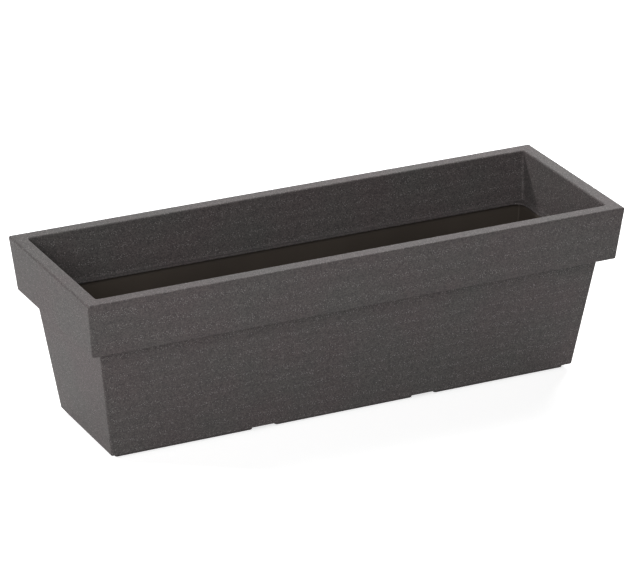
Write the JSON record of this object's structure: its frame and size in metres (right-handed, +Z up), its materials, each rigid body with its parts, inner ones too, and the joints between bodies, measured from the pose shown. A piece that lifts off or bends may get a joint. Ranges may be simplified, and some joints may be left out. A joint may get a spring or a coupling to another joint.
{
  "type": "window box planter",
  "caption": "Long tapered plastic window box with a deep band and wide flat rim; a rim collar presses into the tub, and plugs close its drain holes.",
  "frame": {"origin": "on the ground, at the middle of the footprint", "axes": "+X along the length, +Y across the width towards the back, +Z up"},
  "size_m": [0.6006, 0.2066, 0.189],
  "materials": {
    "tub_plastic": "matte, faint granite speckle outside, plain and smooth inside",
    "collar_plastic": "matte, faint granite speckle",
    "plug_rubber": "matte black"
  },
  "bodies": {
    "planter": {"outer_tub": "tub_plastic", "rim_collar": "collar_plastic"},
    "drain_plug_front_left": {"drain_plug_front_left": "plug_rubber"},
    "drain_plug_front_right": {"drain_plug_front_right": "plug_rubber"},
    "drain_plug_back_left": {"drain_plug_back_left": "plug_rubber"},
    "drain_plug_back_right": {"drain_plug_back_right": "plug_rubber"}
  },
  "joints": [
    {"name": "pull_front_left", "type": "slide", "parent": "planter", "child": "drain_plug_front_left", "axis": [0, 0, 1], "range_m": [0, 0.03]},
    {"name": "pull_front_right", "type": "slide", "parent": "planter", "child": "drain_plug_front_right", "axis": [0, 0, 1], "range_m": [0, 0.03]},
    {"name": "pull_back_left", "type": "slide", "parent": "planter", "child": "drain_plug_back_left", "axis": [0, 0, 1], "range_m": [0, 0.03]},
    {"name": "pull_back_right", "type": "slide", "parent": "planter", "child": "drain_plug_back_right", "axis": [0, 0, 1], "range_m": [0, 0.03]}
  ]
}
